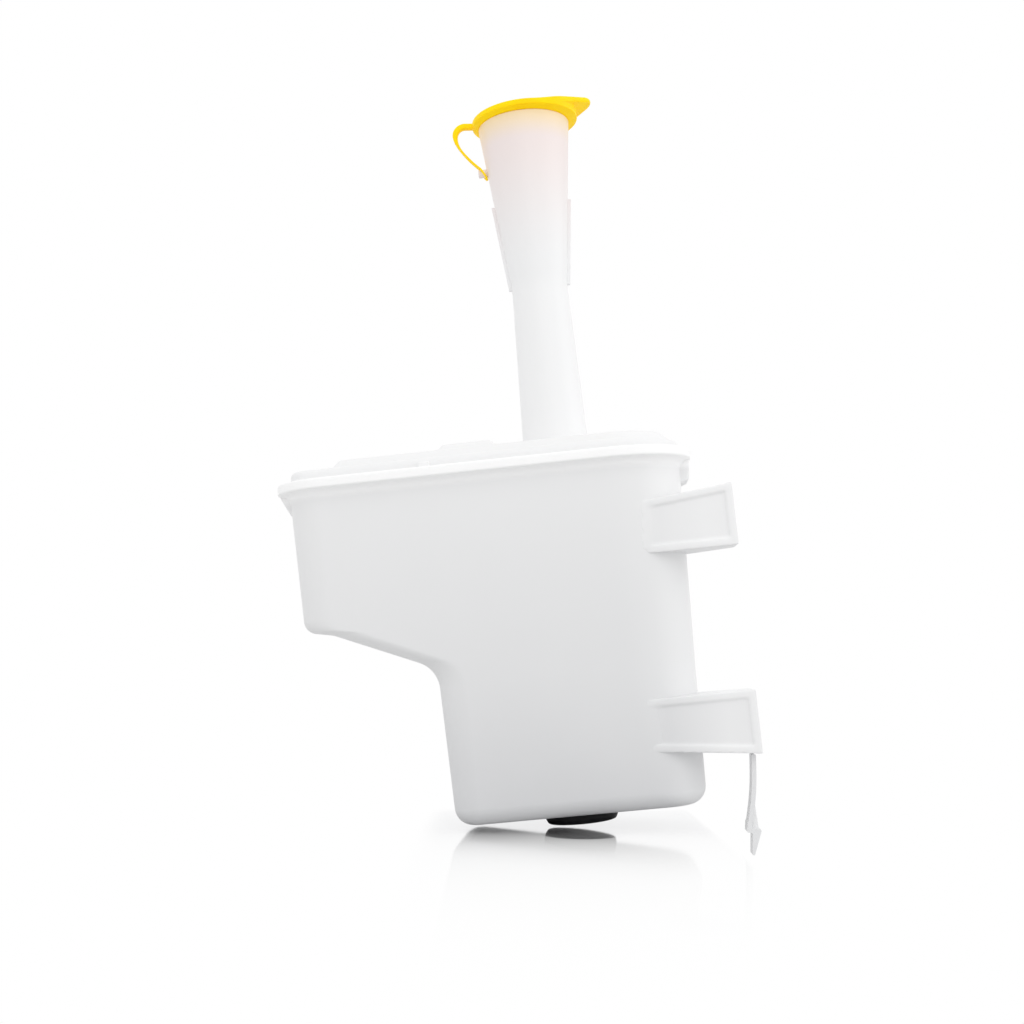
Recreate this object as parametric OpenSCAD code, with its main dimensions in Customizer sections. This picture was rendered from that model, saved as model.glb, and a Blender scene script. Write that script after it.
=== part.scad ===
/* [Tank] */
// Depth of the tank from front to back, at the seam
tank_depth = 104; // [90:1:130]
// Distance from the neck axis to the left wall, at the seam
left_reach = 162; // [140:1:190]
// Distance from the neck axis to the right wall, at the seam
right_reach = 74; // [68:1:95]
// Depth of the tub below the seam
tub_height = 206.5; // [195:0.5:240]
// Wall thickness of the tub and the lid
wall = 2.5; // [2:0.1:3.5]
// Draft of the tub walls, in degrees
draft = 1.8; // [0.5:0.1:2.5]
// Radius of the upright corners at the left end
left_corner = 22; // [18:1:30]
// Radius of the upright corners at the right end
right_corner = 45; // [30:1:48]
// Radius between the walls and the floor
floor_fillet = 10; // [6:1:12]

/* [Overhang] */
// Height of the left wall, down to where the sloping underside meets it
overhang_height = 82; // [60:1:90]
// Slope of the underside, in degrees
overhang_slope = 23; // [12:1:28]
// Distance from the neck axis to the lower left wall, carried up to the seam
sump_left = 86; // [70:1:100]
// Radius of the outer lower corner
overhang_corner = 9; // [6:1:14]
// Radius of the bend into the lower left wall
overhang_bend = 18; // [8:1:24]

/* [Flange] */
// Overhang of the welded flange
flange_reach = 7; // [4:0.5:9]
// Flat width of the flange beyond the cove that carries it
flange_land = 1.5; // [1:0.1:2.5]
// Thickness of the flange on the tub
tub_flange = 3.6; // [2.5:0.1:5]
// Thickness of the flange on the lid
lid_flange = 2.4; // [2:0.1:4]
// Height of the lug under the flange at the left end
left_lug_height = 15; // [10:1:22]
// Height of the lug under the flange at the right end
right_lug_height = 20; // [10:1:21]
// Width of the left lug
left_lug_width = 62; // [30:1:70]
// Width of the right lug
right_lug_width = 22; // [12:1:40]
// How far the lugs stand out from the wall
lug_reach = 6; // [3:0.5:7]
// How far the left lug stands out at its foot
left_lug_foot = 0.5; // [0.5:0.5:3]
// How far the right lug stands out at its foot
right_lug_foot = 4; // [0.5:0.5:6]

/* [Lid] */
// Height of the low left part of the lid above the seam
lid_low = 10; // [8:0.5:14]
// Height of the plateau above the seam
lid_high = 13.4; // [12:0.2:18]
// Height of the raised pad above the seam
pad_high = 18; // [16:0.2:22]
// Distance from the neck axis to the foot of the plateau's step
step_left = 131; // [110:1:140]
// Distance from the neck axis to the left foot of the pad
pad_left = 67; // [60:1:90]
// Distance from the neck axis to the right foot of the pad
pad_right = 34; // [30:1:50]
// Depth of the pad
pad_depth = 76; // [40:1:80]
// Radius of the pad's corners
pad_corner = 8; // [6:0.5:14]
// Distance from the neck axis to the middle of the small rib on the front of the flange
rib_left = 77; // [60:1:110]
// Width of the small rib
rib_width = 7; // [4:0.5:12]
// Height of the small rib above the flange
rib_height = 3.2; // [2:0.1:5]
// Radius along the lid's upper edge
lid_fillet = 4; // [3:0.5:6]

/* [Neck] */
// Radius of the neck where it stands on the lid
neck_base_r = 20.3; // [18:0.1:26]
// Radius of the neck at its waist
neck_waist_r = 17.4; // [15:0.1:20]
// Height of the waist above the seam
neck_waist_z = 116; // [90:1:140]
// Radius of the funnel under the cap
neck_mouth_r = 28.6; // [26:0.1:34]
// Height of the shoulder under the cap above the seam
neck_top_z = 220; // [180:1:250]
// Wall thickness of the neck
neck_wall = 2.2; // [1.6:0.1:3]
// Height of the lip that the cap sits on
lip_height = 4.6; // [3:0.1:6]
// Radius of the flare at the foot of the neck
neck_flare = 4; // [2:0.5:6]
// Length of the side fins, up from the waist
fin_length = 55; // [30:1:80]
// How far the fins stand out
fin_reach = 2; // [1.5:0.1:4]
// Thickness of the fins
fin_t = 3; // [2:0.1:4]

/* [Cap] */
// Radius of the cap's rim
cap_r = 33.4; // [31.5:0.1:38]
// Thickness of the cap's rim
cap_rim = 3.4; // [2.5:0.1:4]
// Thickness of the cap's top
cap_t = 2.2; // [1.6:0.1:3]
// Thickness of the skirt
skirt_t = 1.5; // [1:0.1:2]
// Depth of the plug ring inside the mouth
plug_depth = 5; // [3:0.1:8]
// Clearance between the cap and the neck, all round
cap_gap = 0.8; // [0.6:0.1:1]
// Distance from the neck axis to the middle of the finger tab's round tip
tab_tip = 35; // [32:0.5:42]
// Radius of the tip
tab_tip_r = 9; // [6:0.5:12]
// Distance from the neck axis to the line where the tab bends up
tab_bend = 14; // [8:0.5:18]
// Thickness of the finger tab
tab_t = 3; // [2.5:0.1:4]
// Upward tilt of the finger tab, in degrees
tab_tilt = 16; // [4:1:25]

/* [Tether] */
// Width of the tether strap
tether_width = 4.5; // [3:0.5:9]
// Thickness of the strap at the loop
loop_t = 3; // [2:0.1:3.5]
// Thickness of the strap along its run
run_t = 1.2; // [1:0.1:1.6]
// Middle radius of the loop
loop_r = 6.4; // [5:0.1:8]
// Thickness of the strap at its hinge
hinge_t = 2; // [1.6:0.1:2.4]
// Distance from the cap's rim to the middle of the loop
loop_offset = 4.2; // [2:0.1:5]
// Drop from the middle of the loop to the middle of the peg
peg_drop = 25; // [20:0.5:30]
// Radius of the peg
peg_r = 2.6; // [2:0.1:2.8]
// Length of the peg
peg_length = 5.6; // [4:0.1:8]
// Radius of the hole in the tether's eye
eye_r = 3.7; // [3.6:0.1:5]
// Width of the ring round that hole
eye_ring = 1.4; // [1.2:0.1:2.5]
// Lean of the eye on the peg, in degrees from level
eye_lean = 60; // [58:1:70]

/* [Brackets] */
// Distance from the neck axis to the mounting face of the brackets
bracket_reach = 100; // [90:0.5:115]
// Distance between the two bolts
bolt_spacing = 120; // [100:1:130]
// Depth of the upper bolt below the seam
upper_bolt = 42; // [36:1:50]
// Height of a bracket at its mounting face
bracket_height = 36.4; // [30:0.2:42]
// Depth of a bracket at its mounting face
bracket_depth = 26; // [22:1:34]
// Front face of the brackets, behind the tank's front at the seam
bracket_setback = 5.8; // [4:0.2:8]
// Flare of the outer edge of each bracket, in degrees
bracket_flare = 6; // [0:1:10]
// Plate thickness of the brackets
bracket_t = 3; // [2.5:0.1:4]
// Width of the raised bead round the front of a bracket
bead = 4.2; // [2:0.1:6]
// Height of the bead
bead_rise = 1.2; // [0.6:0.1:1.6]
// Radius of the bolt holes
bolt_r = 3.4; // [2.6:0.1:4.4]

/* [Hose strap] */
// Distance from the brackets' mounting face to the strap's hinge
strap_inset = 4.8; // [4:0.1:8]
// Length of the hanging strap
strap_length = 55.5; // [40:0.5:70]
// Thickness of the strap
strap_t = 3.2; // [2:0.1:4]
// Width of the strap
strap_width = 12; // [8:1:16]
// Lean of the hanging strap towards the tank, in degrees
strap_lean = 10; // [0:1:15]
// Length of the pointed end below the step
strap_point = 15; // [10:1:18]
// Sideways step above the pointed end
strap_step = 4.6; // [3:0.1:6]
// Height of the web above the step
web_height = 20; // [10:1:24]
// Thickness of the web
web_t = 2; // [1.2:0.1:3]

/* [Base plug and pump seal] */
// Radius of the base plug's head
plug_head_r = 21.7; // [18:0.1:24]
// How far the plug stands below the floor
plug_head = 7; // [4:0.1:10]
// Radius of the hole in the floor
plug_hole_r = 16.5; // [14:0.1:18]
// Distance of the plug to the left of the neck axis
plug_left = 7; // [0:0.5:10]
// Radius of the hole for the pump seal
seal_hole_r = 11; // [9:0.1:13]
// Radius of the bore of the pump seal
seal_bore_r = 8; // [6:0.1:8.5]
// Height of the pump seal above the floor
seal_height = 30; // [27:1:40]
// Distance of the pump seal to the right of the neck axis
seal_right = 10; // [0:1:30]
// Width and thickness of the lips of the plug and the seal
lip = 2.5; // [1.5:0.1:3]

/* [Hidden] */
$fn = 72;

natural = [0.93, 0.94, 0.94];
yellow = [0.98, 0.80, 0.08];
black = [0.06, 0.06, 0.07];

// Points along each upright corner and each profile bend
corner_steps = 8;
bend_steps = 5;
fillet_steps = 4;
// Smallest corner radius left by an inward offset
corner_min = 2;
// Overlap of cutting shapes and of shapes that are joined
cut = 1;
// Overlap of the two halves of an outline that meet along a line
seam = 0.1;
// Clearance of a moving piece over what it rests near
hinge_gap = 0.3;
// Clearance of the tether round the hinge, which leaves the cap room to turn over
hinge_open = 0.8;
// How far up the run its outward bow begins, as a share of its height
run_bow = 0.45;
// How far the slope of the finger tab starts inside the cap's rim
tab_inset = 0.7;

half_depth = tank_depth / 2;
floor_z = -tub_height;
lower_bolt = upper_bolt + bolt_spacing;
bracket_front = -half_depth + bracket_setback;
bolt_y = bracket_front + bracket_depth / 2;
// The row's origin lies midway between the two bolts, on the mounting face
origin = [bracket_reach, bolt_y, -(upper_bolt + lower_bolt) / 2];

// Directions of the left walls and of the sloping underside in the front view, with their inward normals
wall_dir = [sin(draft), -cos(draft)];
wall_in = [cos(draft), sin(draft)];
slope_dir = [cos(overhang_slope), -sin(overhang_slope)];
slope_in = [sin(overhang_slope), cos(overhang_slope)];

// How far the draft moves a wall inward at height z
function drafted(z) = -z * tan(draft);

// Point where the line through p along u meets the line through q along v
function meet(p, u, q, v) = p + u * (cross(q - p, v) / cross(u, v));

// Arc of radius r that rounds the corner p between directions u and v
function rounded(p, u, v, r, n) =
    let(half = acos(u * v) / 2)
    let(middle = p + (u + v) / norm(u + v) * r / sin(half))
    let(from = p + u * r / tan(half) - middle)
    let(start = atan2(from[1], from[0]))
    let(turn = (180 - 2 * half) * (cross(u, v) > 0 ? -1 : 1))
    [for (k = [0:n]) middle + r * [cos(start + turn * k / n), sin(start + turn * k / n)]];

// Left edge of the tub in the front view, from the bend up, d inside the outer skin
function left_edge(d) =
    let(top = [-left_reach, 0] + d * wall_in)
    let(sump = [-sump_left, 0] + d * wall_in)
    let(under = [-left_reach + drafted(-overhang_height), -overhang_height] + d * slope_in)
    let(outer = meet(top, wall_dir, under, slope_dir))
    let(inner = meet(sump, wall_dir, under, slope_dir))
    concat(
        rounded(inner, wall_dir, -slope_dir, overhang_bend + d, bend_steps),
        rounded(outer, slope_dir, -wall_dir, overhang_corner - d, bend_steps));

// Rounded rectangle at height z, as a ring of points
function ring(x0, x1, y, left_r, right_r, z) =
    let(l = max(left_r, corner_min))
    let(r = max(right_r, corner_min))
    let(corners = [
        [x0 + l, -y + l, l, 180],
        [x1 - r, -y + r, r, 270],
        [x1 - r, y - r, r, 0],
        [x0 + l, y - l, l, 90]])
    [for (c = corners) for (k = [0:corner_steps])
        let(a = c[3] + 90 * k / corner_steps)
        [c[0] + c[2] * cos(a), c[1] + c[2] * sin(a), z]];

// Ring of the tank's outline at height z, moved inward by d
function tank_ring(x0, z, d) =
    let(in = drafted(min(z, 0)) + d)
    ring(x0, right_reach - in, half_depth - in, left_corner - in, right_corner - in, z);

// Rings of the tub from its floor to the seam, d inside the outer skin
function tub_rings(d) =
    let(r = floor_fillet - d)
    concat(
        [for (k = [0:fillet_steps])
            let(a = 90 - 90 * k / fillet_steps)
            let(z = floor_z + d + r * (1 - sin(a)))
            let(in = d + r * (1 - cos(a)))
            tank_ring(-sump_left + drafted(z) + in, z, in)],
        [for (p = left_edge(d)) tank_ring(p[0], p[1], d)]);

// Solid through a list of rings, from the lowest to the highest
module loft(rings) {
    n = len(rings[0]);
    m = len(rings);
    sides = [for (i = [0:m - 2]) for (j = [0:n - 1])
        let(a = i * n + j)
        let(b = i * n + (j + 1) % n)
        for (face = [[a, a + n, b + n], [a, b + n, b]]) face];
    caps = [[for (j = [0:n - 1]) j], [for (j = [n - 1:-1:0]) (m - 1) * n + j]];
    polyhedron(points = [for (r = rings) each r], faces = concat(sides, caps));
}

// Turns a shape drawn in the front view into a plate of depth t, its front at y
module front_plate(y, t) {
    translate([0, y + t, 0]) rotate([90, 0, 0]) linear_extrude(t) children();
}

// Moves everything into the row's frame
module in_frame() {
    translate(-origin) children();
}

// Tub

module tub_skin() {
    cove = flange_reach - flange_land;
    loft(concat(
        tub_rings(0),
        [for (k = [0:fillet_steps])
            let(a = 90 * k / fillet_steps)
            let(z = -tub_flange - cove * (1 - sin(a)))
            let(out = cove * (1 - cos(a)))
            tank_ring(-left_reach + drafted(z) - out, z, -out)],
        [for (z = [-tub_flange, 0])
            tank_ring(-left_reach + drafted(z) - flange_reach, z, -flange_reach)]));
}

module tub_hollow() {
    loft(concat(tub_rings(wall), [tank_ring(-left_reach + wall, cut, wall)]));
}

// Lug under the flange at one end: side is -1 at the left, 1 at the right
module lug(side) {
    reach = side < 0 ? left_reach : right_reach;
    foot = side < 0 ? left_lug_foot : right_lug_foot;
    height = side < 0 ? left_lug_height : right_lug_height;
    width = side < 0 ? left_lug_width : right_lug_width;
    front_plate(-width / 2, width)
        polygon([
            [side * (reach - wall), -tub_flange / 2],
            [side * (reach + lug_reach), -tub_flange / 2],
            [side * (reach + lug_reach), -tub_flange - cut],
            [side * (reach + foot), -height],
            [side * (reach - wall), -height - wall]]);
}

// Bracket round the bolt at depth z; flip is 1 when it flares upwards, -1 downwards
module bracket(z, flip) {
    half = bracket_height / 2;
    run = bracket_reach;
    root = right_reach - right_corner;
    function outer_edge(x) = half - (run - x) * tan(bracket_flare);
    module outline(t, end) {
        polygon([
            [root, flip * (-half + t)],
            [run - end, flip * (-half + t)],
            [run - end, flip * (outer_edge(run - end) - t)],
            [root, flip * (outer_edge(root) - t)]]);
    }
    translate([0, 0, -z]) difference() {
        intersection() {
            front_plate(bracket_front, tank_depth) outline(0, 0);
            translate([0, 0, -bracket_height]) linear_extrude(2 * bracket_height)
                polygon([
                    [root, bracket_front],
                    [run, bracket_front],
                    [run, bracket_front + bracket_depth],
                    [right_reach - wall, 0],
                    [root, 0]]);
        }
        front_plate(bracket_front + bead_rise + bracket_t, tank_depth) outline(bracket_t, bracket_t);
        front_plate(bracket_front - cut, cut + bead_rise) outline(bead, bead);
        translate([run - bracket_t - cut, bolt_y, 0]) rotate([0, 90, 0])
            cylinder(r = bolt_r, h = bracket_t + 2 * cut);
    }
}

// Places a shape on the rear wall, its axis pointing back
module at_pump_seal() {
    translate([seal_right, half_depth - drafted(floor_z + seal_height), floor_z + seal_height])
        rotate([-90, 0, 0]) children();
}

module tank_tub() {
    color(natural) in_frame() difference() {
        union() {
            difference() {
                union() {
                    tub_skin();
                    lug(-1);
                    lug(1);
                    bracket(upper_bolt, 1);
                    bracket(lower_bolt, -1);
                }
                tub_hollow();
            }
            at_pump_seal() translate([0, 0, -wall - lip / 2])
                cylinder(r = seal_hole_r + 2 * lip, h = wall + lip);
        }
        at_pump_seal() translate([0, 0, -2 * wall - lip])
            cylinder(r = seal_hole_r, h = 4 * wall + 2 * lip);
        translate([-plug_left, 0, floor_z - cut]) cylinder(r = plug_hole_r, h = wall + 2 * cut);
    }
}

// Lid

// Raised block with sides at 45 degrees, from z0 to z1
module raised_block(x0, x1, y, left_r, right_r, z0, z1) {
    rise = z1 - z0;
    loft([
        ring(x0 - cut, x1 + cut, y + cut, left_r + cut, right_r + cut, z0 - cut),
        ring(x0 + rise, x1 - rise, y - rise, left_r - rise, right_r - rise, z1)]);
}

// Solid under the lid's upper surface, d inside the outer skin
module lid_form(d) {
    r = lid_fillet - d;
    loft(concat(
        [tank_ring(-left_reach + d, d > 0 ? -cut : lid_flange / 2, d)],
        [for (k = [0:fillet_steps])
            let(a = 90 * k / fillet_steps)
            let(in = d + r * (1 - cos(a)))
            tank_ring(-left_reach + in, lid_low - d - r * (1 - sin(a)), in)]));
    in = lid_fillet + d / 2;
    raised_block(-step_left + d / 2, right_reach - in, half_depth - in, left_corner - in, right_corner - in,
        lid_low - d, lid_high - d);
    raised_block(-pad_left + d / 2, -pad_right - d / 2, pad_depth / 2 - d / 2, pad_corner, pad_corner,
        lid_high - d, pad_high - d);
}

module lid_flange_ring() {
    loft([
        tank_ring(-left_reach - flange_reach, 0, -flange_reach),
        tank_ring(-left_reach - flange_reach, lid_flange, -flange_reach)]);
}

// Small rib that stands on the flange in front of the lid's wall
module flange_rib() {
    front_plate(-half_depth - flange_reach / 2, flange_reach / 2 + wall / 2)
        translate([-rib_left - rib_width / 2, lid_flange / 2])
            square([rib_width, lid_flange / 2 + rib_height]);
}

// Radius of the neck's outside at height z above the waist
function funnel_r(z) =
    neck_waist_r + (neck_mouth_r - neck_waist_r) * (z - neck_waist_z) / (neck_top_z - neck_waist_z);

lip_out = neck_mouth_r - skirt_t;
lip_in = neck_mouth_r - neck_wall - skirt_t;
rim_z = neck_top_z + lip_height;

module neck_form() {
    flare = [for (k = [0:fillet_steps])
        let(a = 90 * k / fillet_steps)
        [neck_base_r + neck_flare * (1 - sin(a)), lid_high + neck_flare * (1 - cos(a))]];
    rotate_extrude() polygon(concat(
        [[0, lid_high - cut], [neck_base_r + neck_flare, lid_high - cut]],
        flare,
        [[neck_waist_r, neck_waist_z], [neck_mouth_r, neck_top_z], [lip_out, neck_top_z]],
        [[lip_out, rim_z], [0, rim_z]]));
}

module neck_hollow() {
    rotate_extrude() polygon([
        [0, 0],
        [neck_base_r - neck_wall, 0],
        [neck_base_r - neck_wall, lid_high],
        [neck_waist_r - neck_wall, neck_waist_z],
        [lip_in, neck_top_z],
        [lip_in, rim_z + cut],
        [0, rim_z + cut]]);
}

// Fin on one side of the funnel: side is -1 at the left, 1 at the right
module fin(side) {
    top = neck_waist_z + fin_length;
    front_plate(-fin_t / 2, fin_t)
        polygon([
            [side * (neck_waist_r - neck_wall / 2), neck_waist_z],
            [side * (neck_waist_r + fin_reach), neck_waist_z],
            [side * (funnel_r(top) + fin_reach), top],
            [side * (funnel_r(top) - neck_wall / 2), top]]);
}

module tank_lid() {
    color(natural) in_frame() difference() {
        union() {
            lid_form(0);
            lid_flange_ring();
            flange_rib();
            neck_form();
            fin(-1);
            fin(1);
            translate([-peg_tip, 0, peg_z]) rotate([0, 90, 0])
                cylinder(r = peg_r, h = peg_length + neck_wall / 2);
        }
        lid_form(wall);
        neck_hollow();
    }
}

// Cap, with the half of the tether's loop that turns with it

cap_low = neck_top_z + hinge_gap;
cap_under = rim_z + hinge_gap;
cap_top = cap_under + cap_t;
skirt_in = lip_out + cap_gap;
skirt_out = skirt_in + skirt_t;
plug_out = lip_in - cap_gap;
plug_taper = plug_out - cap_gap;

// The hinge lies at the leftmost point of the tether's loop
loop_mid = [-cap_r - loop_offset, cap_top - loop_r - loop_t / 2];
hinge = loop_mid - [loop_r, 0];
peg_z = loop_mid[1] - peg_drop;
peg_tip = funnel_r(peg_z) + peg_length;

// Radius of the round end of the cap's half of the loop
knuckle_r = hinge_t / 2;

// One edge of the loop from its top to the hinge: side is 1 outside, -1 inside
function loop_edge(side) =
    [for (k = [0:corner_steps])
        let(s = k / corner_steps)
        let(r = loop_r + side * (loop_t + (hinge_t - loop_t) * s) / 2)
        loop_mid + r * [cos(90 + 90 * s), sin(90 + 90 * s)]];

function backward(list) = [for (k = [len(list) - 1:-1:0]) list[k]];

module cap_loop() {
    front_plate(-tether_width / 2, tether_width) union() {
        polygon(concat(loop_edge(1), backward(loop_edge(-1))));
        translate([loop_mid[0] - seam, cap_top - loop_t]) square([loop_offset + loop_t, loop_t]);
        translate(hinge) circle(knuckle_r);
    }
}

// Finger tab: the cap's top slopes up past the bend and runs out along two tangents to a round tip
module cap_tab() {
    disc_r = cap_r - tab_inset;
    tangent = acos((disc_r - tab_tip_r) / tab_tip);
    root = acos((tab_bend - tab_t) / disc_r);
    function disc(a) = disc_r * [cos(a), sin(a)];
    function tip(a) = [tab_tip, 0] + tab_tip_r * [cos(a), sin(a)];
    module sloped(t) {
        translate([tab_bend, 0, cap_top]) rotate([0, -tab_tilt, 0]) translate([-tab_bend, 0, -t])
            linear_extrude(t) children();
    }
    intersection() {
        union() {
            sloped(tab_t) polygon(concat(
                [for (k = [0:bend_steps]) disc(-root + (root - tangent) * k / bend_steps)],
                [for (k = [0:corner_steps]) tip(-tangent + 2 * tangent * k / corner_steps)],
                [for (k = [0:bend_steps]) disc(tangent + (root - tangent) * k / bend_steps)]));
            intersection() {
                sloped(cap_r) translate([tab_bend - tab_t, -cap_r]) square(2 * cap_r);
                translate([0, 0, cap_under]) cylinder(r = disc_r - tab_inset, h = cap_r);
            }
        }
        translate([0, -cap_r, cap_top - cap_t / 2]) cube(2 * cap_r);
    }
}

module filler_cap() {
    color(yellow) in_frame() {
        rotate_extrude() polygon([
            [0, cap_under],
            [plug_out - skirt_t, cap_under],
            [plug_taper - skirt_t, cap_under - plug_depth],
            [plug_taper, cap_under - plug_depth],
            [plug_out, cap_under],
            [skirt_in, cap_under],
            [skirt_in, cap_low],
            [skirt_out, cap_low],
            [cap_r, cap_top - cap_rim],
            [cap_r, cap_top],
            [0, cap_top]]);
        cap_loop();
        cap_tab();
    }
}

// Tether: the lower half of the loop, the run and the eye on the peg

// The eye leans along the run, hangs on the peg and rests its lower end against the neck
eye_dir = [cos(eye_lean), -sin(eye_lean)];
eye_play = eye_r * sin(eye_lean) - run_t / 2 * cos(eye_lean) - peg_r;
eye_z = peg_z - max(eye_play - hinge_gap, 0);
eye_foot = (eye_r + eye_ring) * eye_dir + run_t / 2 * [sin(eye_lean), cos(eye_lean)];
eye_mid = [-funnel_r(eye_z + eye_foot[1]) - hinge_gap - eye_foot[0], eye_z];
socket_r = knuckle_r + hinge_open;

// One side of the tether's run, from the hinge to the eye, as a curve bowed outwards
function run_edge(last, side) =
    let(bow = [hinge[0], last[1] + (hinge[1] - last[1]) * run_bow])
    [for (k = [0:bend_steps])
        let(s = k / bend_steps)
        let(p = (1 - s) * (1 - s) * hinge + 2 * s * (1 - s) * bow + s * s * last)
        let(d = (1 - s) * (bow - hinge) + s * (last - bow))
        p + side * run_t / 2 * [-d[1], d[0]] / norm(d)];

module cap_tether() {
    run_end = eye_mid - eye_r * eye_dir;
    color(yellow) in_frame() {
        front_plate(-tether_width / 2, tether_width) difference() {
            polygon(concat(run_edge(run_end, 1), backward(run_edge(run_end, -1))));
            translate(hinge) circle(socket_r);
        }
        translate([eye_mid[0], 0, eye_mid[1]]) rotate([0, eye_lean, 0]) difference() {
            cylinder(r = eye_r + eye_ring, h = run_t, center = true);
            cylinder(r = eye_r, h = run_t + 2 * cut, center = true);
        }
    }
}

// Hose strap hanging under the lower bracket

strap_root = [bracket_reach - strap_inset, -lower_bolt - bracket_height / 2 - hinge_gap - strap_t / 2];

module hose_strap() {
    half = strap_t / 2;
    step_z = -strap_length + strap_point;
    point_x = strap_step - strap_t;
    color(natural) in_frame()
    translate([strap_root[0], bolt_y, strap_root[1]]) rotate([0, strap_lean, 0]) {
        front_plate(-strap_width / 2, strap_width) union() {
            circle(half);
            polygon([
                [-half, 0],
                [-half, step_z - strap_t],
                [point_x, step_z - strap_t],
                [point_x + half / 2, -strap_length],
                [point_x + half * 3 / 2, -strap_length],
                [strap_step + strap_t, step_z],
                [half, step_z],
                [half, 0]]);
        }
        front_plate(-web_t / 2, web_t)
            polygon([
                [0, step_z - half],
                [strap_step + half, step_z - half],
                [strap_step + half, step_z],
                [half, step_z + web_height],
                [0, step_z + web_height]]);
    }
}

// Base plug and pump seal

module base_plug() {
    color(black) in_frame() translate([-plug_left, 0, floor_z]) rotate_extrude() polygon([
        [0, -plug_head],
        [plug_head_r - lip / 2, -plug_head],
        [plug_head_r, -plug_head + lip],
        [plug_head_r, 0],
        [plug_hole_r, 0],
        [plug_hole_r, wall],
        [plug_hole_r + lip, wall],
        [plug_hole_r, wall + lip],
        [0, wall + lip]]);
}

module pump_seal() {
    color(black) in_frame() at_pump_seal() rotate_extrude() polygon([
        [seal_bore_r, -wall - 1.5 * lip],
        [seal_hole_r, -wall - 1.5 * lip],
        [seal_hole_r + lip, -wall - lip / 2],
        [seal_hole_r, -wall - lip / 2],
        [seal_hole_r, lip / 2],
        [seal_hole_r + lip, lip / 2],
        [seal_hole_r + lip, 1.5 * lip],
        [seal_bore_r, 1.5 * lip]]);
}

tank_tub();
tank_lid();
filler_cap();
cap_tether();
hose_strap();
base_plug();
pump_seal();
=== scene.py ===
from math import acos, atan2, cos, pi, radians, sin, tan

import bmesh
import bpy
from mathutils import Matrix, Vector


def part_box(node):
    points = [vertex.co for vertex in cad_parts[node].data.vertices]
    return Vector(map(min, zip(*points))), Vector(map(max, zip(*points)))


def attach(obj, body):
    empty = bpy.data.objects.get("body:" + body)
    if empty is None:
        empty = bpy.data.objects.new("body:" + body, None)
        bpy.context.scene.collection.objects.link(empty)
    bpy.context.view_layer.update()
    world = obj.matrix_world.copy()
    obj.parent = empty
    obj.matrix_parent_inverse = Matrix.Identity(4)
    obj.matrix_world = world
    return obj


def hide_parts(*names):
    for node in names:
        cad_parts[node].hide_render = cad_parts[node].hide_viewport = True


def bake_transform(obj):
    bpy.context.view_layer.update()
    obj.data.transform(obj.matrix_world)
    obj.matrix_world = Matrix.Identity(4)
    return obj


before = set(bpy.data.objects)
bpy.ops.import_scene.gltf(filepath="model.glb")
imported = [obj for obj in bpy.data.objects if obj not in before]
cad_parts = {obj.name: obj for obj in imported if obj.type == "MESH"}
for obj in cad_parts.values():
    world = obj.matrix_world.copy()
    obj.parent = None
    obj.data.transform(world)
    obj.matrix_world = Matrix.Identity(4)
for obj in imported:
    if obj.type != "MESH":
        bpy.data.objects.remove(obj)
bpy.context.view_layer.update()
scene = bpy.context.scene
mm = 0.001
print("frame loaded:", len(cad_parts), "nodes")

# Outline of the tank seen from above, in mm from the neck axis; all sizes below are in mm too
plan = dict(left=162.0, right=74.0, depth=104.0, draft=1.8, leftCorner=22.0, rightCorner=45.0, leastCorner=1.5,
            flange=7.0, wall=2.5, cornerSteps=18, lead=2.0, squarer=16.0, squareFrom=172.0)
tub = dict(height=206.5, floorFillet=10.0, overhang=82.0, slope=23.0, foot=17.0, footSlope=11.0, footSoft=14.0,
           sumpLeft=86.0, outerCorner=8.0, bend=18.0, flangeThick=3.6, cove=5.5, edge=1.3, seam=0.06, steps=10)

lidLow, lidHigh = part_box("tank_lid")
neckFoot = Vector((lidLow.x + (plan["left"] + plan["flange"]) * mm, (lidLow.y + lidHigh.y) / 2, lidLow.z))


def at(x, y, z):  # from the neck axis at the seam into the row frame
    return neckFoot + Vector((x, y, z)) * mm


# Shader maths


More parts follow.
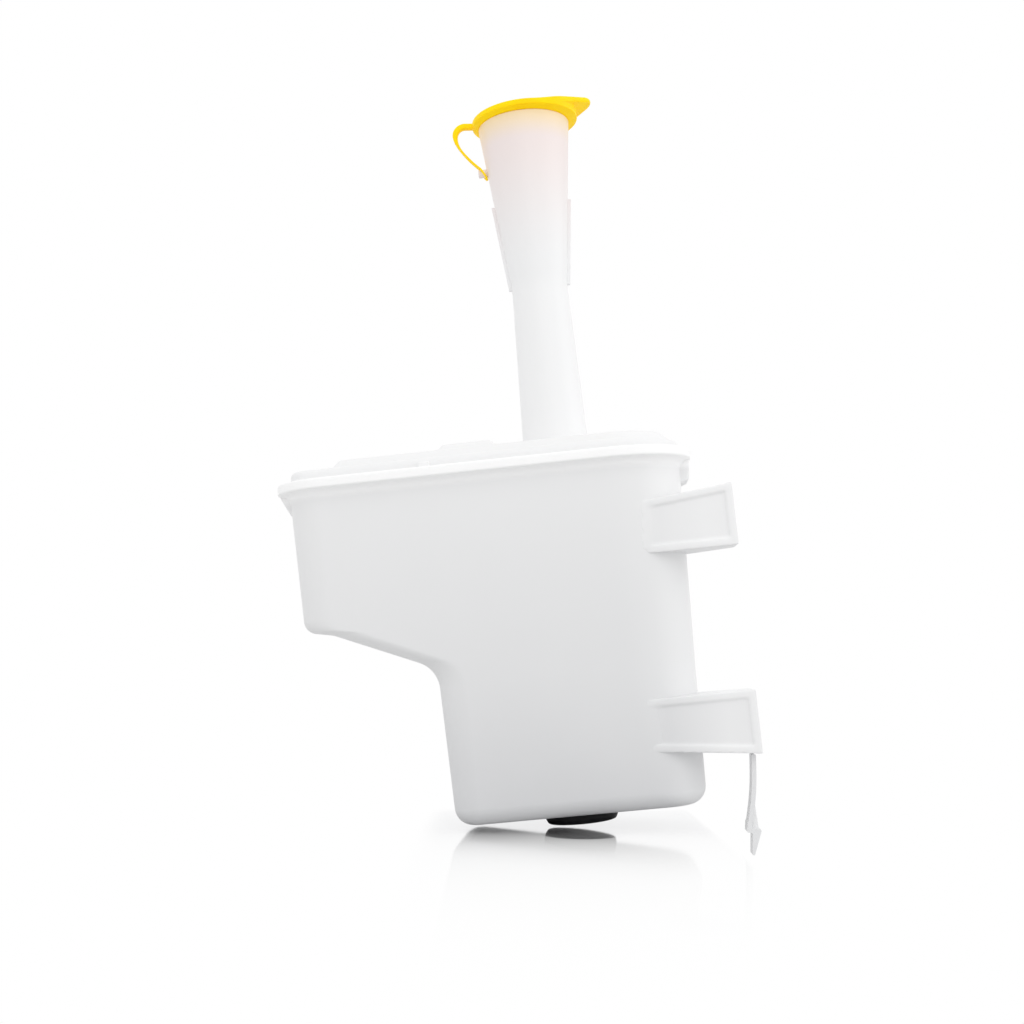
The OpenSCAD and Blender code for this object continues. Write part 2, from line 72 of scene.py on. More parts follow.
class Wire:
    def __init__(self, tree, socket=None):
        self.tree, self.socket = tree, socket

    def node(self, kind, settings=None, sockets=None, out=0):
        made = self.tree.nodes.new(kind)
        for key, value in (settings or {}).items():
            if key == "stops":  # a ramp's places and colours
                ramp = made.color_ramp
                for k, (place, colour) in enumerate(value):
                    stop = ramp.elements[k] if k < 2 else ramp.elements.new(place)
                    stop.position, stop.color = place, (*colour, 1.0)
            else:
                setattr(made, key, value)
        for key, value in (sockets or {}).items():
            if isinstance(value, Wire):
                self.tree.links.new(value.socket, made.inputs[key])
            else:
                made.inputs[key].default_value = value
        return Wire(self.tree, made.outputs[out])

    def maths(self, operation, first, second):
        return self.node("ShaderNodeMath", {"operation": operation}, {0: first, 1: second})

    def __add__(self, other): return self.maths("ADD", self, other)
    def __radd__(self, other): return self.maths("ADD", other, self)
    def __sub__(self, other): return self.maths("SUBTRACT", self, other)
    def __rsub__(self, other): return self.maths("SUBTRACT", other, self)
    def __mul__(self, other): return self.maths("MULTIPLY", self, other)
    def __rmul__(self, other): return self.maths("MULTIPLY", other, self)
    def __truediv__(self, other): return self.maths("DIVIDE", self, other)
    def __rtruediv__(self, other): return self.maths("DIVIDE", other, self)

    def ranged(self, low, high, toLow=0.0, toHigh=1.0):  # smooth step between two values
        return self.node("ShaderNodeMapRange", {"interpolation_type": "SMOOTHSTEP"},
                         {"Value": self, "From Min": low, "From Max": high, "To Min": toLow, "To Max": toHigh})

    def tinted(self, first, second):  # mix of two colours, plain or wired, with this wire as the factor
        first, second = [(*colour, 1.0) if isinstance(colour, tuple) else colour for colour in (first, second)]
        return self.node("ShaderNodeMix", {"data_type": "RGBA"}, {0: self, 6: first, 7: second}, out=2)

    def swing(self, size):  # a noise, made to vary about zero
        return (self - 0.5) * size


def newMaterial(name):
    made = bpy.data.materials.new(name)
    made.use_nodes = True
    shader = made.node_tree.nodes["Principled BSDF"]
    return made, Wire(made.node_tree), shader


def feed(shader, socket, wire):
    wire.tree.links.new(wire.socket, shader.inputs[socket])


def speckle(coords, scale, detail):
    return coords.node("ShaderNodeTexNoise", {}, {"Vector": coords, "Scale": scale, "Detail": detail})


def moulded(name, look):  # a material with broad clouds and a fine grain, which is its bump too
    made, wire, shader = newMaterial(name)
    coords = wire.node("ShaderNodeTexCoord", out="Object")
    noises = {key: speckle(coords, *look[key]) for key in ("cloud", "grain")}
    bump = {"Strength": look["bump"], "Distance": look["grainDepth"], "Height": noises["grain"]}
    feed(shader, "Normal", wire.node("ShaderNodeBump", sockets=bump))
    for key, value in look["even"].items():
        shader.inputs[key].default_value = value
    return made, shader, coords, noises


# A noise's two numbers are its scale and detail
# The ramp up the tub is painted shade, darker towards the floor. The next colour is the pale tint of the clouds and of
# the painted light; the colours after it are painted light, for light that comes through the flange and the cap
naturalLook = dict(rise=((0.0, (0.685, 0.69, 0.705)), (0.15, (0.715, 0.719, 0.73)),
                         (0.4, (0.775, 0.778, 0.785)), (0.97, (0.838, 0.84, 0.844))),
                   paintedLight=(0.89, 0.892, 0.896), rim=(0.995, 0.995, 0.996), rimLow=(-10.0, -6.0), rimHigh=(1.6, 3.4),
                   paintedCapLight=(0.88, 0.73, 0.70), paintedCapLightFrom=125.0, paintedCapLightShare=0.7,
                   glow=(0.98, 0.78, 0.45), glowFrom=204.0, glowShare=0.8, mouth=222.0, gloss=0.38, glossSwing=0.10,
                   cloud=(11.0, 2.0), cloudEdge=(0.35, 0.65), cloudShare=0.12, grain=(900.0, 3.0),
                   grainDepth=0.00004, bump=0.5, even={"IOR": 1.49})


def naturalPlastic():
    look = naturalLook
    made, shader, coords, noises = moulded("naturalPlastic", look)
    cloud, grain = noises["cloud"], noises["grain"]  # the clouds are thick and thin places in the moulding
    height = coords.node("ShaderNodeSeparateXYZ", sockets={0: coords}, out="Z")
    share = (height - at(0, 0, -tub["height"]).z) / (tub["height"] * mm)
    body = coords.node("ShaderNodeValToRGB", {"stops": look["rise"]}, {"Fac": share})  # painted shade: darker towards the floor and paler towards the flange, as light falls from above
    body = (cloud.ranged(*look["cloudEdge"]) * look["cloudShare"]).tinted(body, look["paintedLight"])
    part = coords.node("ShaderNodeAttribute", {"attribute_name": "paintedLight"}, out="Fac")  # how much painted light each part gets, set part by part below
    body = part.tinted(body, look["paintedLight"])
    low, high = [[at(0, 0, z).z for z in look[name]] for name in ("rimLow", "rimHigh")]
    rim = height.ranged(*low) * height.ranged(*high, 1.0, 0.0)  # painted light: the flange, and the shade in the cove under it, are painted near white where light shines through the flange
    body = rim.tinted(body, look["rim"])
    for tint in ("paintedCapLight", "glow"):  # painted light: the neck is painted warmer up to its mouth, for light that comes through the cap
        start, mouth = [at(0, 0, look[name]).z for name in (tint + "From", "mouth")]
        body = (height.ranged(start, mouth) * look[tint + "Share"]).tinted(body, look[tint])
    feed(shader, "Base Color", body)
    feed(shader, "Roughness", look["gloss"] + grain.swing(look["glossSwing"]) + cloud.swing(look["glossSwing"]))
    return made


def twoTone(name, look):
    made, shader, _, noises = moulded(name, look)
    feed(shader, "Base Color", noises["cloud"].ranged(*look["cloudEdge"]).tinted(*look["tones"]))
    feed(shader, "Roughness", look["gloss"] + noises[look["glossBy"]].swing(look["glossSwing"]))
    return made


# The cap's emission is painted light, a glow that stands in for daylight passing through it
yellowLook = dict(tones=((1.0, 0.69, 0.002), (0.99, 0.63, 0.001)), gloss=0.48, glossBy="grain", glossSwing=0.14,
                  cloud=(60.0, 2.0), cloudEdge=(0.3, 0.7), grain=(1400.0, 3.0), grainDepth=0.00003, bump=0.5,
                  even={"Subsurface Weight": 0.15, "Subsurface Radius": (1.0, 0.6, 0.1), "Subsurface Scale": 2 * mm,
                        "Specular IOR Level": 0.12, "Emission Color": (1.0, 0.69, 0.002, 1.0),
                        "Emission Strength": 0.13})
rubberLook = dict(tones=((0.006, 0.006, 0.007), (0.016, 0.016, 0.018)), gloss=0.52, glossBy="cloud", glossSwing=0.2,
                  cloud=(120.0, 4.0), cloudEdge=(0.4, 0.75), grain=(2200.0, 2.0), grainDepth=0.00004, bump=0.6,
                  even={"Specular IOR Level": 0.2})
natural = naturalPlastic()
yellow, rubber = twoTone("yellowPlastic", yellowLook), twoTone("blackRubber", rubberLook)
print("materials made")

# Mesh helpers

hair = 0.001 * mm  # points closer than this become one
edgeAngle = radians(30)  # edges that turn more than this are softened


def toMesh(bm, *modifiers):
    mesh = bpy.data.meshes.new("rough")
    bm.to_mesh(mesh)
    bm.free()
    rough = bpy.data.objects.new("rough", mesh)
    scene.collection.objects.link(rough)
    for kind, settings in modifiers:
        modifier = rough.modifiers.new(kind.title(), kind)
        for key, value in settings.items():
            setattr(modifier, key, value)
    done = bpy.data.meshes.new_from_object(rough.evaluated_get(bpy.context.evaluated_depsgraph_get()))
    bpy.data.objects.remove(rough)
    return done


def makePiece(name, meshes, material, sharp=40.0, paintedLight=(0, 0)):  # this tells how much painted light each mesh gets, for light that passes through it
    bm = bmesh.new()
    layer = bm.verts.layers.float.new("paintedLight")
    for k, mesh in enumerate(meshes):
        count = len(bm.verts)
        bm.from_mesh(mesh)
        bm.verts.ensure_lookup_table()
        for vert in bm.verts[count:]:
            vert[layer] = paintedLight[k](vert.co) if callable(paintedLight[k]) else paintedLight[k]
    mesh = bpy.data.meshes.new(name)
    bm.to_mesh(mesh)
    bm.free()
    mesh.materials.clear()
    mesh.materials.append(material)
    mesh.shade_smooth()
    mesh.set_sharp_from_angle(angle=radians(sharp))
    piece = bpy.data.objects.new(name, mesh)
    scene.collection.objects.link(piece)
    print(name, len(mesh.polygons), "faces")
    return piece


def evenNormals(piece):  # keeps large flat walls flat beside their rounded edges
    modifier = piece.modifiers.new("evenNormals", "WEIGHTED_NORMAL")
    modifier.keep_sharp = True
    return piece


def softEdge(width):
    return ("BEVEL", dict(width=width * mm, segments=3, limit_method="ANGLE", angle_limit=edgeAngle))


def bridge(bm, one, two, closed=True):  # quads between two rows of points
    count = len(one)
    for j in range(count if closed else count - 1):
        n = (j + 1) % count
        bm.faces.new((one[j], one[n], two[n], two[j]))


def loft(bm, rings, place=at):  # rings run counter-clockwise seen from above
    rows = [[bm.verts.new(place(*p)) for p in ring] for ring in rings]
    for low, high in zip(rows, rows[1:]):
        bridge(bm, low, high)
    bm.faces.new(list(reversed(rows[0])))
    bm.faces.new(rows[-1])


def solid(rings, *modifiers, place=at):  # rings may run either way
    bm = bmesh.new()
    loft(bm, rings, place)
    bmesh.ops.recalc_face_normals(bm, faces=bm.faces)
    return toMesh(bm, *modifiers)


def slab(outline, low, high):  # outline seen from above; low and high are heights as functions of x
    return solid([[(x, y, edge(x)) for x, y in outline] for edge in (low, high)])


def frontPlate(outline, y0, y1, soft, place=at):  # outline seen from the front
    return solid([[(x, y, z) for x, z in outline] for y in (y0, y1)], softEdge(soft), place=place)


def spin(columns, place, closed=False):  # (turn, profile) pairs; a profile of (radius, height) points, out and up
    bm = bmesh.new()
    rows = [[bm.verts.new(place @ (Vector((r * cos(turn), r * sin(turn), z)) * mm)) for r, z in profile]
            for turn, profile in columns]
    count = len(rows[0])
    for one, two in zip(rows, rows[1:] + rows[:1]):
        for i in range(count if closed else count - 1):
            j = (i + 1) % count
            bm.faces.new((one[i], two[i], two[j], one[j]))
    bmesh.ops.remove_doubles(bm, verts=bm.verts, dist=hair)
    bmesh.ops.dissolve_degenerate(bm, edges=bm.edges, dist=hair)
    return toMesh(bm)


def lathe(profile, place, closed=False, steps=96):
    return spin([(2 * pi * k / steps, profile) for k in range(steps)], place, closed)


def quarter(steps):  # angles of a quarter turn
    return [pi / 2 * k / steps for k in range(steps + 1)]


def roundCorner(p, u, v, r, steps):  # arc that rounds the corner p between directions u and v
    half = u.angle(v) / 2
    middle = p + (u + v).normalized() * (r / sin(half))
    arm = p + u * (r / tan(half)) - middle
    start = atan2(arm.y, arm.x)
    turn = (pi - 2 * half) * (-1 if u.cross(v) > 0 else 1)
    turns = [start + turn * k / steps for k in range(steps + 1)]
    return [middle + r * Vector((cos(a), sin(a))) for a in turns]


def softened(points, radii, closed=False, steps=5):  # outline with each corner rounded by its own radius
    done = []
    for i, (point, r) in enumerate(zip(points, radii)):
        p = Vector(point)
        if r == 0 or (not closed and i in (0, len(points) - 1)):
            done.append(tuple(p))
            continue
        before, after = Vector(points[i - 1]), Vector(points[(i + 1) % len(points)])
        done += [tuple(q) for q in roundCorner(p, (before - p).normalized(), (after - p).normalized(), r, steps)]
    return done


def ringAt(x0, x1, half, leftR, rightR, z):
    ring = []
    leftR, rightR = max(leftR, plan["leastCorner"]), max(rightR, plan["leastCorner"])
    for cx, cy, r, start in ((x0 + leftR, leftR - half, leftR, 180), (x1 - rightR, rightR - half, rightR, 270),
                             (x1 - rightR, half - rightR, rightR, 0), (x0 + leftR, half - leftR, leftR, 90)):
        arc = [radians(start + 90 * k / plan["cornerSteps"]) for k in range(plan["cornerSteps"] + 1)]
        points = [(cx + r * cos(a), cy + r * sin(a), z) for a in arc]
        lead = plan["lead"]  # short straight lead in and out keeps the flat walls flat
        points.insert(0, (points[0][0] + lead * sin(arc[0]), points[0][1] - lead * cos(arc[0]), z))
        points.append((points[-1][0] - lead * sin(arc[-1]), points[-1][1] + lead * cos(arc[-1]), z))
        ring += points
    return ring


def drafted(z):
    return -min(z, 0) * tan(radians(plan["draft"]))


def squarer(z):  # how much tighter the right corner is near the floor
    return plan["squarer"] * (max(-z - plan["squareFrom"], 0) / (tub["height"] - plan["squareFrom"])) ** 2


def planRing(inset, z, x0=None, leftCorner=plan["leftCorner"]):  # the tank's outline at height z, moved inward
    lean = drafted(z) + inset
    left = lean - plan["left"] if x0 is None else x0
    return ringAt(left, plan["right"] - lean, plan["depth"] / 2 - lean,
                  leftCorner - lean, plan["rightCorner"] - lean - squarer(z), z)


# Tub: an L-shaped shell whose left half stops at a sloping underside

lug = dict(reach=6.0, lip=1.0, soft=1.0, left=(62.0, 15.0, 0.5), right=(22.0, 15.6, 4.6))  # width, height, foot


def leftEdge(d):  # left edge of the tub seen from the front, from the bend up, d inside the outer skin
    draft, slope, level = radians(plan["draft"]), radians(tub["slope"]), radians(tub["footSlope"])
    wallDown, wallIn = Vector((sin(draft), -cos(draft))), Vector((cos(draft), sin(draft)))
    slopeDown, slopeIn = Vector((cos(slope), -sin(slope))), Vector((sin(slope), cos(slope)))
    footDown, footIn = Vector((cos(level), -sin(level))), Vector((sin(level), cos(level)))
    top = Vector((-plan["left"], 0)) + d * wallIn
    sump = Vector((-tub["sumpLeft"], 0)) + d * wallIn
    corner = Vector((drafted(-tub["overhang"]) - plan["left"], -tub["overhang"]))
    under = corner + d * slopeIn
    flatter = corner + slopeDown * (tub["foot"] / cos(slope)) + d * footIn  # the slope eases off towards the left wall

    def meet(p, u, q, v):
        return p + u * ((q - p).cross(v) / u.cross(v))

    outer, inner = meet(top, wallDown, flatter, footDown), meet(sump, wallDown, under, slopeDown)
    ease = meet(flatter, footDown, under, slopeDown)
    return (roundCorner(inner, wallDown, -slopeDown, tub["bend"] + d, tub["steps"])
            + roundCorner(ease, slopeDown, -footDown, tub["footSoft"] + d, tub["steps"])
            + roundCorner(outer, footDown, -wallDown, tub["outerCorner"] - d, tub["steps"]))


def tubRings(d):
    rings, r = [], tub["floorFillet"] - d
    for a in reversed(quarter(tub["steps"])):
        z = d - tub["height"] + r * (1 - sin(a))
        inset = d + r * (1 - cos(a))
        rings.append(planRing(inset, z, drafted(z) + inset - tub["sumpLeft"]))
    return rings + [planRing(d, p.y, p.x) for p in leftEdge(d)]


def flangeRings():  # the wall sweeps out into the flange, whose edge is rounded
    turns, reach = quarter(tub["steps"]), plan["flange"]
    cove, edge, thick, seam = tub["cove"], tub["edge"], tub["flangeThick"], tub["seam"]
    rings = [planRing(-cove * (1 - cos(a)), -thick - cove * (1 - sin(a))) for a in turns]
    rings += [planRing(edge * (1 - cos(a)) - reach, edge * (1 - sin(a)) - thick) for a in reversed(turns)]
    return rings + [planRing(-reach, -seam), planRing(seam - reach, 0)]


def tubShell():
    bm = bmesh.new()
    loft(bm, tubRings(0) + flangeRings() + [planRing(plan["wall"], 0)] + list(reversed(tubRings(plan["wall"]))))
    return bm


def lugMesh(side):
    reach = plan["left"] if side < 0 else plan["right"]
    width, height, foot = lug["left"] if side < 0 else lug["right"]
    root, out, under = reach - plan["wall"], reach + lug["reach"], -tub["flangeThick"]
    outline = [(root, under / 2), (out, under / 2), (out, under - lug["lip"]), (reach + foot, -height),
               (root, -height - plan["wall"])]
    return frontPlate([(side * x, z) for x, z in outline], -width / 2, width / 2, lug["soft"])


# Brackets: two ears with a bolt hole in the end, hollow behind, with raised beads along the front

bracket = dict(reach=100.0, upper=42.0, spacing=120.0, height=36.4, depth=26.0, setback=5.8, flare=6.0, thick=3.0,
               bead=4.2, rise=1.2, sunk=1.0, hole=3.4, voxel=0.75, smoothing=(0.5, 5), holeSteps=48,
               leans=((0.0, 0.0), (0.32, 1.3)), leanRun=18.0, rampEnd=62.0, rampSoft=4.0, rampShare=1.4,
               rampUnder=0.12, rampSteps=(24, 8))
bracketFront = bracket["setback"] - plan["depth"] / 2
boltLine = bracketFront + bracket["depth"] / 2


def holedEnd(bm, depth, low, high):  # end flange with its bolt hole, as a ring of quads
    reach, thick, count = bracket["reach"], bracket["thick"], bracket["holeSteps"]
    y0, y1, tiny, far = bracketFront, bracketFront + bracket["depth"], 1e-6, 1e6
    corners = [atan2(z - depth, y - boltLine) for y in (y0, y1) for z in (low, high)]
    turns = sorted([2 * pi * k / count - pi for k in range(count)] + corners)
    rows = []
    for x in (reach - thick, reach):
        hole, rim = [], []
        for a in turns:
            c, s = cos(a), sin(a)
            reachY = ((y1 if c > 0 else y0) - boltLine) / c if abs(c) > tiny else far
            reachZ = ((high if s > 0 else low) - depth) / s if abs(s) > tiny else far
            r = min(reachY, reachZ)
            hole.append(bm.verts.new(at(x, boltLine + bracket["hole"] * c, depth + bracket["hole"] * s)))
            rim.append(bm.verts.new(at(x, boltLine + r * c, depth + r * s)))
        rows.append((hole, rim))
    (holeIn, rimIn), (holeOut, rimOut) = rows
    for one, two in ((holeIn, rimIn), (rimOut, holeOut), (rimIn, rimOut), (holeOut, holeIn)):
        bridge(bm, one, two)
    bmesh.ops.recalc_face_normals(bm, faces=bm.faces)


def bracketMesh(depth, flip, leans):  # flip is 1 when it flares upwards, -1 downwards
    reach, half, thick, bead = bracket["reach"], bracket["height"] / 2, bracket["thick"], bracket["bead"]
    root, wallX = plan["right"] - plan["rightCorner"], plan["right"] - plan["wall"]
    front, flat = bracketFront, bracketFront + bracket["rise"]  # of the beads and of the plate

    def outer(x, t=0.0):
        return flip * (half - (reach - x) * tan(radians(bracket["flare"])) - t) - depth

    def inner(x, t=0.0):
        return flip * (t - half) - depth

    def across(x0, x1, y0, y1):
        return [(x0, y0), (x1, y0), (x1, y1), (x0, y1)]

    def rampRing(share, steps):  # at one height, where the plate runs softly out of the tub's round corner
        under, x1, ring = bracket["rampUnder"], bracket["rampEnd"], []
        low, high = inner(wallX, bead / 2), outer(wallX, bead / 2)
        z = low + (high - low) * share
        r = plan["rightCorner"] - drafted(z) - squarer(z)
        midX, midY = plan["right"] - drafted(z) - r, drafted(z) - plan["depth"] / 2 + r
        soft = min(bracket["rampSoft"], bracket["rampShare"] * (flat - midY + r))
        start = midY - flat + soft - 2 * (soft * under) ** 0.5  # how far before the corner's middle the ramp comes out
        x0 = midX + (r * r - start * start) ** 0.5
        for k in range(steps + 1):
            x = x0 + (x1 - x0) * k / steps
            wall = midY - (r * r - (x - midX) ** 2) ** 0.5
            ring.append((x, min(wall, flat) - max(soft - abs(wall - flat), 0) ** 2 / (4 * soft) + under, z))
        return ring + [(x1, flat + thick, z), (x0, ring[0][1] + thick / 2, z)]

    long, tall = bracket["rampSteps"]
    sunk = flat + bracket["sunk"]  # the beads reach into the plate
    arm = [(root, front), (reach, front), (reach, front + bracket["depth"]), (wallX, 0), (root, 0)]
    beads = [[(root, front - lean), (root + bracket["leanRun"], front)] + across(root, reach, front, sunk)[1:]
             for lean in leans]  # each bead's end leans out to the wall
    parts = [slab(across(root, reach, flat, flat + thick), inner, outer),
             slab(across(reach - bead, reach, front, sunk), inner, outer),
             solid([rampRing(k / tall, long) for k in range(tall + 1)])]
    for (outerSide, innerSide), t in ((beads, bead), ((arm, arm), thick)):
        parts += [slab(outerSide, lambda x: outer(x, t), outer), slab(innerSide, inner, lambda x: inner(x, t))]
    bm = bmesh.new()
    holedEnd(bm, -depth, *sorted((inner(reach), outer(reach))))
    for part in parts:
        bm.from_mesh(part)
    factor, times = bracket["smoothing"]
    return toMesh(bm, ("REMESH", dict(mode="VOXEL", voxel_size=bracket["voxel"] * mm)),
                  ("SMOOTH", dict(factor=factor, iterations=times)))


def cutter(r, low, high, place):  # hidden solid that cuts a round hole
    mesh = lathe([(0, low), (r, low), (r, high), (0, high)], place, steps=64)
    hidden = bpy.data.objects.new("cutter", mesh)
    scene.collection.objects.link(hidden)
    return hidden


plug = dict(left=7.0, headR=21.7, head=7.0, holeR=16.5, lip=2.5, gap=0.1, cut=5.0,
            radii=(0, 1.6, 1.6, 0.5, 0, 0.2, 0.6, 1.0, 0))
seal = dict(right=10.0, height=30.0, holeR=11.0, boreR=8.0, lip=2.5, cut=10.0, bossSoft=0.8,
            radii=(0.5, 0.5, 0.5, 0.1, 0.1, 0.4, 0.9, 0.8))
sealZ = seal["height"] - tub["height"]
plugPlace = Matrix.Translation(at(-plug["left"], 0, -tub["height"]))
sealPlace = (Matrix.Translation(at(seal["right"], plan["depth"] / 2 - drafted(sealZ), sealZ))
             @ Matrix.Rotation(-pi / 2, 4, "X"))


def bored(bm, *holes):
    mesh = toMesh(bm, *[("BOOLEAN", dict(operation="DIFFERENCE", solver="EXACT", object=hole)) for hole in holes])
    for hole in holes:
        bpy.data.objects.remove(hole)
    return mesh


def sealBoss():
    r, lip, low = seal["holeR"], seal["lip"], -plan["wall"] - seal["lip"] / 2
    ring = [(r, low), (r + 2 * lip, low), (r + 2 * lip, lip / 2), (r, lip / 2)]
    return lathe(softened(ring, [0, 0, seal["bossSoft"], 0], closed=True), sealPlace, closed=True)


plugHole, sealHole = [cutter(piece["holeR"], -piece["cut"], piece["cut"], place)
                      for piece, place in ((plug, plugPlace), (seal, sealPlace))]
tubMeshes = [bored(tubShell(), plugHole, sealHole), sealBoss(), lugMesh(-1), lugMesh(1),
             bracketMesh(bracket["upper"], 1, bracket["leans"][0]),
             bracketMesh(bracket["upper"] + bracket["spacing"], -1, bracket["leans"][1])]

# Painted light on the tub: its right end, lugs and bracket ends are painted paler
tubPaintedLight = dict(rightFrom=46.0, rightRun=16.0, right=0.45, lugs=(0.8, 0.6), armFrom=50.0, armRun=40.0, arm=0.8, bead=0.2)


def pastX(place, start, run):  # 0 left of start, 1 after the run, and more past that
    return max((place.x - at(tubPaintedLight[start], 0, 0).x) / (tubPaintedLight[run] * mm), 0)


def towardEnd(place):  # painted light: the brackets are painted paler towards their ends, and palest along the beads, where light comes through them
    onBead = place.y < at(0, bracketFront + bracket["rise"] / 2, 0).y
    return min(pastX(place, "armFrom", "armRun"), tubPaintedLight["arm"]) + (tubPaintedLight["bead"] if onBead else 0)


def towardRight(place):  # painted light: the tub's wall is painted paler round its right end, where light from the right falls and the shade under the lower bracket is lifted
    return tubPaintedLight["right"] * min(pastX(place, "rightFrom", "rightRun"), 1)


tankTub = evenNormals(makePiece("tankTub", tubMeshes, natural,
                                paintedLight=(towardRight, 0, *tubPaintedLight["lugs"], towardEnd, towardEnd)))

# Lid with its plateau, pad and funnel neck

# The last entry gives each lid mesh its share of painted light, most on the neck, fins, peg and rib
lid = dict(flangeThick=2.4, low=8.8, high=13.6, pad=18.0, stepLeft=133.0, padLeft=71.5, padRight=-34.0, padDepth=76.0,
           padCorner=3.0, leftIn=4.0, leftCorner=9.0, blockCorner=5.0, edge=1.0, fillet=4.0, cove=1.6, soft=2.2,
           sunk=1.0, steps=8, paintedLight=(0.2, 0.2, 0.2, 1, 1, 1, 1, 1))
neck = dict(baseR=20.3, waistR=17.4, waistZ=116.0, mouthR=28.8, topZ=221.8, wall=2.2, lip=2.8, lipStep=1.7, flare=4.0,
            waistSoft=70.0, skirt=2.0, skirtEdge=0.5, sunk=3.0, lipRadii=(0.5, 0.2, 0.6, 0.6, 3.0), cut=(-20.0, 30.0))
fin = dict(length=55.0, reach=2.0, sunk=1.0, thick=3.0, soft=0.5)
peg = dict(z=194.2, r=2.6, length=5.6, sunk=1.0, soft=0.6)
rib = dict(left=77.0, width=7.0, height=3.2, soft=0.8)
neckPlace = Matrix.Translation(at(0, 0, 0))


def lidShell():
    turns, wall, thick, reach = quarter(lid["steps"]), plan["wall"], lid["flangeThick"], plan["flange"]
    edge, cove, fillet, low = lid["edge"], lid["cove"], lid["fillet"], lid["low"]

    def sideRing(inset, z):  # the left end stands in from the flange, with a tighter corner
        return planRing(inset, z, inset + lid["leftIn"] - plan["left"], lid["leftCorner"])

    rings = [planRing(wall, low - wall), planRing(wall, 0)]
    rings += [planRing(tub["seam"] - reach, 0), planRing(-reach, tub["seam"])]
    rings += [planRing(edge * (1 - cos(a)) - reach, thick - edge * (1 - sin(a))) for a in turns]
    rings += [sideRing(-cove * (1 - sin(a)), thick + cove * (1 - cos(a))) for a in turns]
    rings += [sideRing(fillet * (1 - cos(a)), low - fillet * (1 - sin(a))) for a in turns]
    bm = bmesh.new()
    loft(bm, rings)
    return bm


def raisedBlock(x0, x1, half, leftR, rightR, z0, z1):  # sides at 45 degrees and a rounded upper edge
    top, slope, sunk = Vector((z1 - z0, z1)), Vector((-1, -1)).normalized(), lid["sunk"]
    edge = [Vector((-sunk, z0 - sunk))] + roundCorner(top, slope, Vector((1, 0)), lid["soft"], lid["steps"])
    bm = bmesh.new()
    loft(bm, [ringAt(x0 + p.x, x1 - p.x, half - p.x, leftR - p.x, rightR - p.x, p.y) for p in edge])
    return bm


def funnelR(z):
    return neck["waistR"] + (neck["mouthR"] - neck["waistR"]) * (z - neck["waistZ"]) / (neck["topZ"] - neck["waistZ"])


lipOut = neck["mouthR"] - neck["lipStep"]
lipIn = lipOut - neck["wall"]
rimZ = neck["topZ"] + neck["lip"]


def neckTube():
    base, waist, wall, foot = neck["baseR"], neck["waistR"], neck["wall"], lid["high"]
    skirt, sunk = base + neck["flare"] + neck["skirt"], foot - neck["sunk"]
    points = [(base - wall, sunk), (skirt, sunk), (skirt, foot - neck["skirtEdge"]), (base, foot),
              (waist, neck["waistZ"]), (neck["mouthR"], neck["topZ"]), (lipOut, neck["topZ"]), (lipOut, rimZ),
              (lipIn, rimZ), (lipIn, neck["topZ"]), (waist - wall, neck["waistZ"])]
    radii = [0, 0, 0, neck["flare"], neck["waistSoft"], *neck["lipRadii"], neck["waistSoft"]]
    return lathe(softened(points, radii, closed=True, steps=8), neckPlace, closed=True, steps=128)


def finMesh(side):
    low, top = neck["waistZ"], neck["waistZ"] + fin["length"]
    into, out = -fin["sunk"], fin["reach"]
    outline = [(side * (funnelR(z) + d), z) for z, d in ((low, into), (low, out), (top, out), (top, into))]
    return frontPlate(outline, -fin["thick"] / 2, fin["thick"] / 2, fin["soft"])


def pegMesh():
    place = Matrix.Translation(at(peg["sunk"] - funnelR(peg["z"]), 0, peg["z"])) @ Matrix.Rotation(-pi / 2, 4, "Y")
    length = peg["length"] + peg["sunk"]
    profile = softened([(0, 0), (peg["r"], 0), (peg["r"], length), (0, length)], [0, 0, peg["soft"], 0])
    return lathe(profile, place, steps=48)


def ribMesh():  # small rib that stands on the front of the flange
    half, thick, wide = plan["depth"] / 2, lid["flangeThick"], rib["width"] / 2
    left, right, low, high = -rib["left"] - wide, -rib["left"] + wide, thick / 2, thick + rib["height"]
    return frontPlate([(left, low), (right, low), (right, high), (left, high)],
                      -half - plan["flange"] / 2, -half + plan["wall"] / 2, rib["soft"])


def neckHole():
    return cutter(neck["baseR"] - neck["wall"], *neck["cut"], neckPlace)


inset = lid["fillet"]
plateau = raisedBlock(-lid["stepLeft"], plan["right"] - inset, plan["depth"] / 2 - inset,
                      lid["blockCorner"], plan["rightCorner"] - inset, lid["low"], lid["high"])
pad = raisedBlock(-lid["padLeft"], lid["padRight"], lid["padDepth"] / 2, lid["padCorner"], lid["padCorner"],
                  lid["high"], lid["pad"])
lidMeshes = [bored(lidShell(), neckHole()), bored(plateau, neckHole()), toMesh(pad), neckTube(),
             finMesh(-1), finMesh(1), pegMesh(), ribMesh()]
tankLid = evenNormals(makePiece("tankLid", lidMeshes, natural, paintedLight=lid["paintedLight"]))

# Cap and its finger tab

cap = dict(r=33.4, rim=3.4, top=2.2, skirt=1.5, plugDepth=5.0, gap=0.8, clear=0.1, crown=0.4, soft=0.9, shift=1.0,
           shelf=0.4, grow=0.05, radii=(0, 0.3, 0.4, 0.4, 0.3, 0.3, 0.4, 0.4, 0.2), steps=120, topSteps=12)
tab = dict(tip=35.0, tipR=9.0, bend=14.0, ease=6.0, tilt=16.0, thick=3.8, soft=1.5, softShare=0.45, tipSoft=2.0,
           tipRun=9.0, rootSoft=0.8, rootShare=0.4, steps=24, sideSteps=12)
capLow, capUnder = neck["topZ"] + cap["clear"], rimZ + cap["clear"]
capTop = capUnder + cap["top"]


